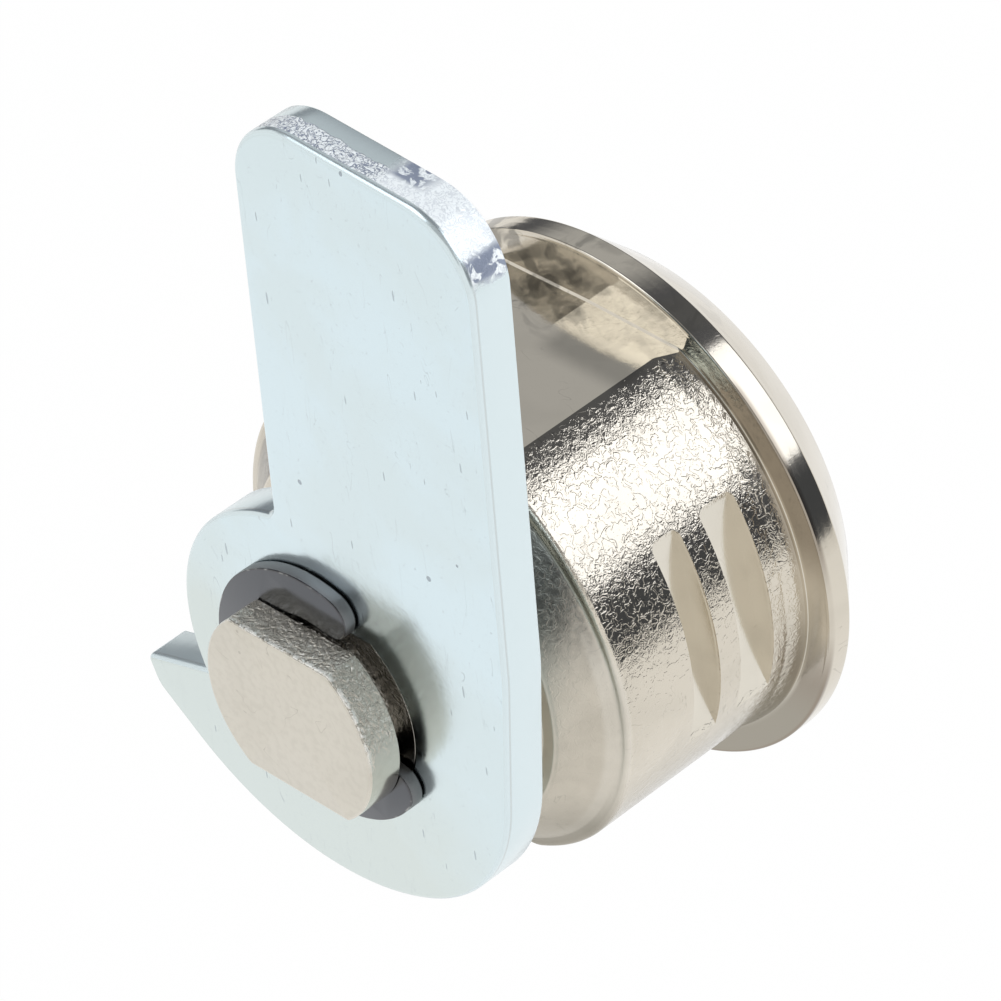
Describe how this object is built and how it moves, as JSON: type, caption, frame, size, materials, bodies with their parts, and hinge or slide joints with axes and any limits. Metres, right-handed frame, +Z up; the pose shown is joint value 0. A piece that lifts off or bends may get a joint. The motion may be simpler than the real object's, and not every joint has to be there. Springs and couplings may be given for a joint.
{
  "type": "cam lock",
  "caption": "Small cam lock with a flanged double-D barrel, a key plug and a flat offset cam held on the spindle by a horseshoe clip.",
  "frame": {"origin": "on the lock's axis, in the plane of the flange's rear face, which seats on the door or lid", "axes": "+Y along the lock's axis out of the key side, +Z up the cam's blade, +X to the right of the blade seen from the cam side"},
  "size_m": [0.0228, 0.0203, 0.0371],
  "materials": {
    "nickel_casting": "bright nickel plate over a die casting, with orange peel on the round sides",
    "plug_casting": "satin nickel plate over a die casting",
    "stainless_cap": "polished thin stainless steel",
    "spring_steel": "bright drawn wire",
    "wafer_brass": "bare punched brass",
    "zinc_plate": "semi-gloss blue-white zinc plate on punched steel",
    "black_spring_steel": "blackened spring steel, slightly glossy"
  },
  "bodies": {
    "body": {"lock_body": "nickel_casting"},
    "plug": {"key_plug": "plug_casting", "plug_cap": "stainless_cap", "shutter_pin": "spring_steel", "wafer_spring_1": "spring_steel", "wafer_spring_2": "spring_steel", "wafer_spring_3": "spring_steel", "wafer_spring_4": "spring_steel", "wafer_spring_5": "spring_steel", "wafer_spring_6": "spring_steel", "cam": "zinc_plate", "retaining_clip": "black_spring_steel"},
    "wafer_1": {"wafer_1": "wafer_brass"},
    "wafer_2": {"wafer_2": "wafer_brass"},
    "wafer_3": {"wafer_3": "wafer_brass"},
    "wafer_4": {"wafer_4": "wafer_brass"},
    "wafer_5": {"wafer_5": "wafer_brass"},
    "wafer_6": {"wafer_6": "wafer_brass"},
    "shutter": {"dust_shutter": "stainless_cap", "shutter_spring": "spring_steel"}
  },
  "joints": [
    {"name": "plug_turn", "type": "hinge", "parent": "body", "child": "plug", "pos_m": [0, 0, 0], "axis": [0, 1, 0], "range_deg": [-90, 0]},
    {"name": "wafer_1_slide", "type": "slide", "parent": "plug", "child": "wafer_1", "axis": [0, 0, 1], "range_m": [-0.0006, 0.001], "stiffness_N_per_m": 100, "deforming": ["wafer_spring_1"]},
    {"name": "wafer_2_slide", "type": "slide", "parent": "plug", "child": "wafer_2", "axis": [0, 0, 1], "range_m": [-0.0006, 0.001], "stiffness_N_per_m": 100, "deforming": ["wafer_spring_2"]},
    {"name": "wafer_3_slide", "type": "slide", "parent": "plug", "child": "wafer_3", "axis": [0, 0, 1], "range_m": [-0.0006, 0.001], "stiffness_N_per_m": 100, "deforming": ["wafer_spring_3"]},
    {"name": "wafer_4_slide", "type": "slide", "parent": "plug", "child": "wafer_4", "axis": [0, 0, 1], "range_m": [-0.0006, 0.001], "stiffness_N_per_m": 100, "deforming": ["wafer_spring_4"]},
    {"name": "wafer_5_slide", "type": "slide", "parent": "plug", "child": "wafer_5", "axis": [0, 0, 1], "range_m": [-0.0006, 0.001], "stiffness_N_per_m": 100, "deforming": ["wafer_spring_5"]},
    {"name": "wafer_6_slide", "type": "slide", "parent": "plug", "child": "wafer_6", "axis": [0, 0, 1], "range_m": [-0.0006, 0.001], "stiffness_N_per_m": 100, "deforming": ["wafer_spring_6"]},
    {"name": "shutter_swing", "type": "hinge", "parent": "plug", "child": "shutter", "pos_m": [0.00175, 0.0024, 0], "axis": [0, 0, 1], "range_deg": [0, 80], "stiffness_Nm_per_rad": 0.0001, "springref_deg": -17.19}
  ]
}
